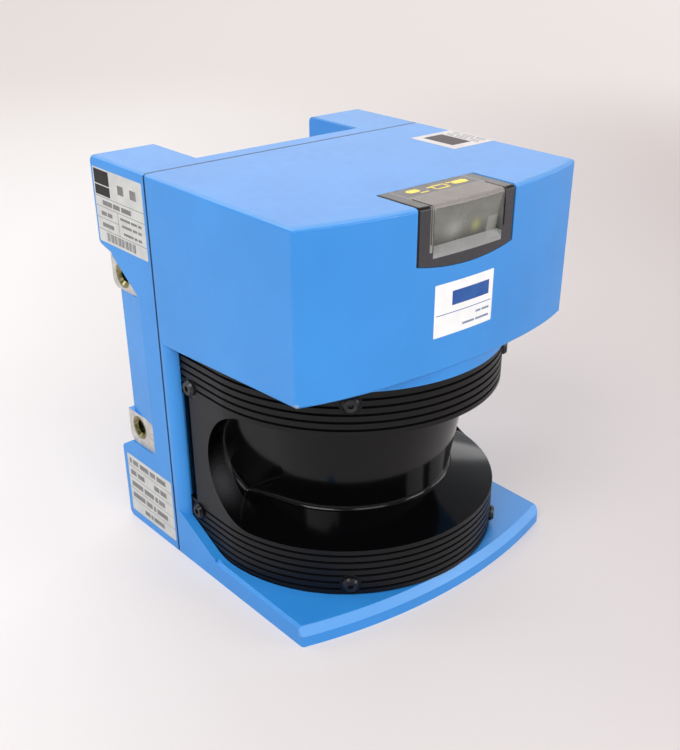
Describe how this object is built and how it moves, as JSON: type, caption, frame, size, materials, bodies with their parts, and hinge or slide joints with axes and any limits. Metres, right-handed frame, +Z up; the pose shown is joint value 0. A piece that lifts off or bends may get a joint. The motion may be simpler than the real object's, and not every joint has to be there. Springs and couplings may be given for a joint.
{
  "type": "safety laser scanner",
  "caption": "Housed laser scanner with a ribbed dark cover around a conical scan window, under an overhanging hood.",
  "frame": {"origin": "on the base plane, under the middle of the scanner's box", "axes": "+Z up along the mirror's turning axis, -Y out of the scan window, +X to the right seen from the front"},
  "size_m": [0.155, 0.156, 0.185],
  "materials": {
    "blue_paint": "fine textured satin",
    "bare_metal": "machined",
    "black_cover": "satin ribs, glossy window",
    "black_steel": "burnished",
    "yellow_zinc": "yellow chromated",
    "tinted_lens": "smoked, glossy",
    "seal_rubber": "matt",
    "steel": "satin",
    "copper_wire": "varnished windings",
    "board_green": "solder resist",
    "black_plastic": "moulded",
    "black_anodised": "anodised",
    "mirror_glass": "front silvered",
    "clear_glass": "polished",
    "lamp_red": "diffused",
    "lamp_yellow": "diffused",
    "lamp_green": "diffused",
    "label_foil": "printed foil"
  },
  "bodies": {
    "root": {"front_housing": "blue_paint", "rear_housing": "blue_paint", "housing_gasket": "seal_rubber", "optics_cover": "black_cover", "cover_seal": "seal_rubber", "cover_screws": "black_steel", "thread_inserts": "yellow_zinc", "indicator_window": "tinted_lens", "housing_screws": "black_steel", "motor_base": "bare_metal", "motor_cup": "steel", "motor_bearings": "steel", "motor_stator": "copper_wire", "motor_board": "board_green", "encoder_sensor": "black_plastic", "lens_tube": "black_anodised", "fold_mirror": "mirror_glass", "receiver_lens": "clear_glass", "lens_ring": "black_anodised", "laser_barrel": "bare_metal", "collimator_lens": "clear_glass", "laser_diode": "steel", "receiver_cone": "black_anodised", "receiver_diode": "black_plastic", "receiver_board": "board_green", "processor_board": "board_green", "power_board": "board_green", "indicator_board": "board_green", "lamp_red": "lamp_red", "lamp_yellow": "lamp_yellow", "lamp_green": "lamp_green", "small_screws": "steel", "supply_connector": "black_plastic", "data_connector": "black_plastic", "jack_screws": "steel", "connector_board": "board_green"},
    "mirror_rotor": {"motor_shaft": "steel", "rotor_magnet": "black_steel", "encoder_disc": "clear_glass", "mirror_carrier": "black_anodised", "mirror": "mirror_glass"}
  },
  "joints": [
    {"name": "mirror_spin", "type": "hinge", "parent": "root", "child": "mirror_rotor", "pos_m": [0, -0.004, 0.06], "axis": [0, 0, 1], "continuous": true}
  ]
}
